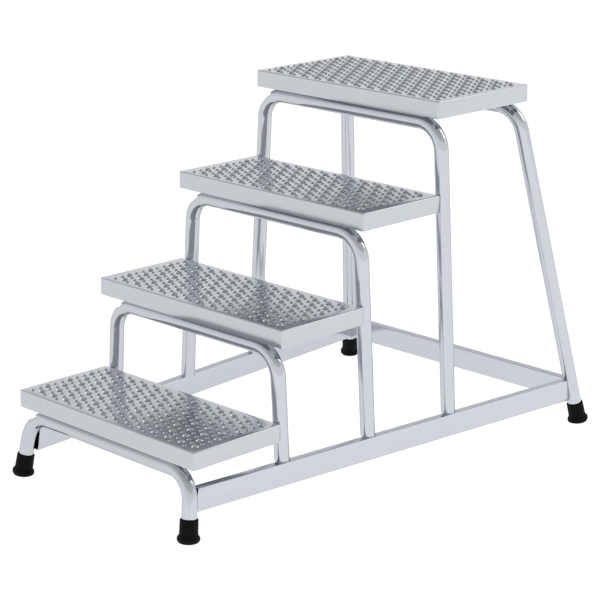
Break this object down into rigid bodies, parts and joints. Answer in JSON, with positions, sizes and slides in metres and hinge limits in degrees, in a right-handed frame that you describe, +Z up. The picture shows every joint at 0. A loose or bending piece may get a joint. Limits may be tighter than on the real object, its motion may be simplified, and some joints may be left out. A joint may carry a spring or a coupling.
{
  "type": "mounting block",
  "caption": "Free-standing stepped mounting platform: folded anti-slip treads on bent tube hoops, side rails and rubber feet.",
  "frame": {"origin": "on the floor, midway between the four feet and on the plane of symmetry", "axes": "+Z up, +Y from the lowest step towards the top platform, +X to the right of a person climbing it"},
  "size_m": [0.7828, 1.1828, 0.8],
  "materials": {
    "tread_sheet": "galvanised sheet, satin, with raised anti-slip nibs",
    "tube_steel": "galvanised round tube, semi-bright",
    "rail_steel": "galvanised rectangular tube, satin",
    "rubber": "moulded black rubber, matt",
    "disc_steel": "zinc-plated disc"
  },
  "bodies": {
    "root": {"tread_1": "tread_sheet", "tread_2": "tread_sheet", "tread_3": "tread_sheet", "top_platform": "tread_sheet", "hoop_1": "tube_steel", "hoop_2": "tube_steel", "hoop_3": "tube_steel", "hoop_4": "tube_steel", "rear_hoop": "tube_steel", "side_rail_left": "rail_steel", "side_rail_right": "rail_steel", "rear_cross_rail": "rail_steel", "ferrule_front_left": "rubber", "ferrule_front_right": "rubber", "ferrule_rear_left": "rubber", "ferrule_rear_right": "rubber", "ferrule_disc_front_left": "disc_steel", "ferrule_disc_front_right": "disc_steel", "ferrule_disc_rear_left": "disc_steel", "ferrule_disc_rear_right": "disc_steel"}
  },
  "joints": []
}
